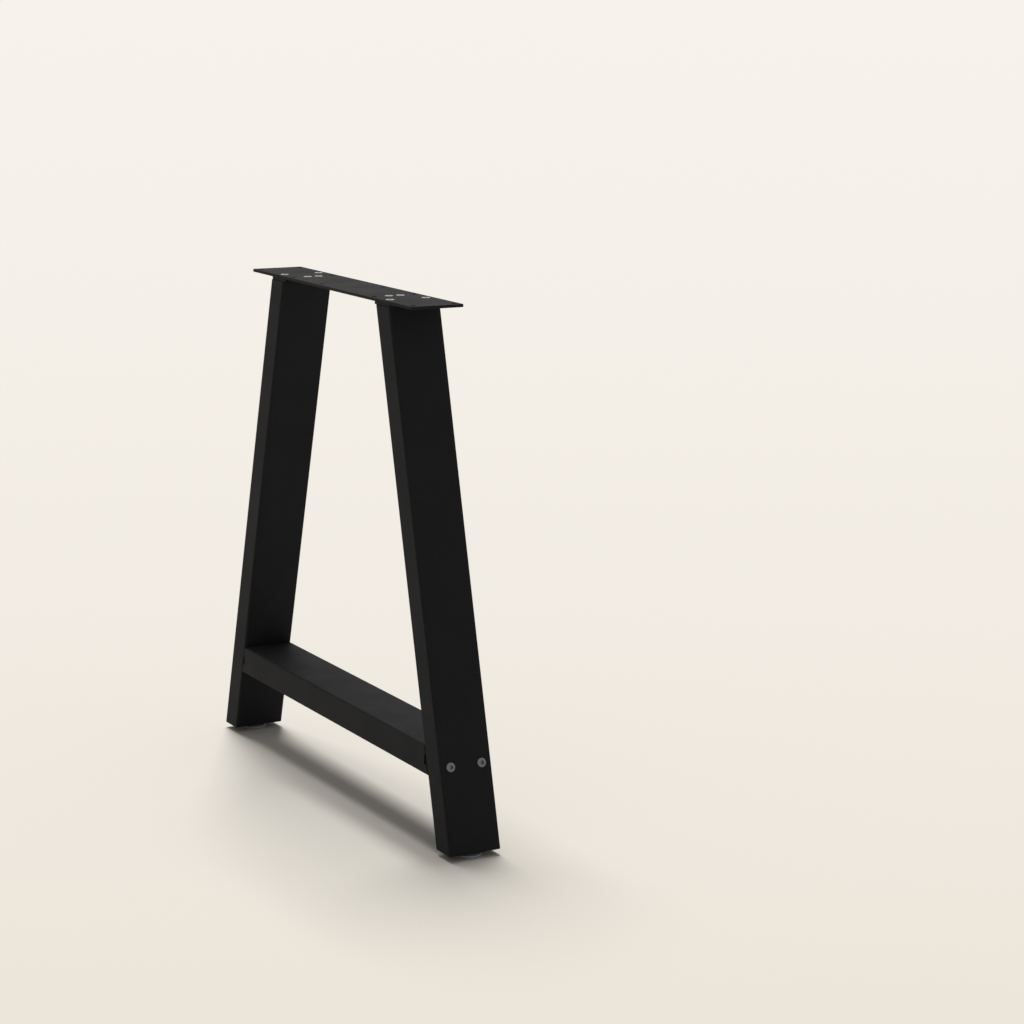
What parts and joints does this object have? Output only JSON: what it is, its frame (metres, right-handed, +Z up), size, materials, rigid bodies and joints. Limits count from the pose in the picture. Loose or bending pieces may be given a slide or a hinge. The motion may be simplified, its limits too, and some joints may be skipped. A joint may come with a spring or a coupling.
{
  "type": "trestle table leg",
  "caption": "Bolted steel A-frame trestle leg: flat top plate with screw holes for a tabletop, leaning rectangular-tube legs, a mitred crossbar and round levelling feet.",
  "frame": {"origin": "on the floor, under the middle of the top plate", "axes": "+Z up, X along the top plate from foot to foot, Y across the plate and the legs' wide faces"},
  "size_m": [0.711, 0.076, 0.711],
  "materials": {
    "black_coat": "satin powder coat",
    "zinc_screws": "bright zinc",
    "steel_bolts": "dull zinc",
    "inner_steel": "zinc",
    "foot_plastic": "moulded"
  },
  "bodies": {
    "frame": {"top_plate": "black_coat", "plate_screws": "zinc_screws", "right_leg_tube": "black_coat", "left_leg_tube": "black_coat", "right_leg_flange": "black_coat", "left_leg_flange": "black_coat", "right_leg_end_cap": "black_coat", "left_leg_end_cap": "black_coat", "right_foot_nut": "inner_steel", "left_foot_nut": "inner_steel", "crossbar_tube": "black_coat", "right_crossbar_end_plate": "black_coat", "left_crossbar_end_plate": "black_coat", "right_spacer_sleeves": "inner_steel", "left_spacer_sleeves": "inner_steel", "crossbar_bolts": "steel_bolts"},
    "right_foot": {"right_foot_stud": "inner_steel", "right_foot_pad": "foot_plastic"},
    "left_foot": {"left_foot_stud": "inner_steel", "left_foot_pad": "foot_plastic"}
  },
  "joints": [
    {"name": "right_foot_level", "type": "slide", "parent": "frame", "child": "right_foot", "axis": [0, 0, -1], "range_m": [0, 0.012]},
    {"name": "left_foot_level", "type": "slide", "parent": "frame", "child": "left_foot", "axis": [0, 0, -1], "range_m": [0, 0.012]}
  ]
}
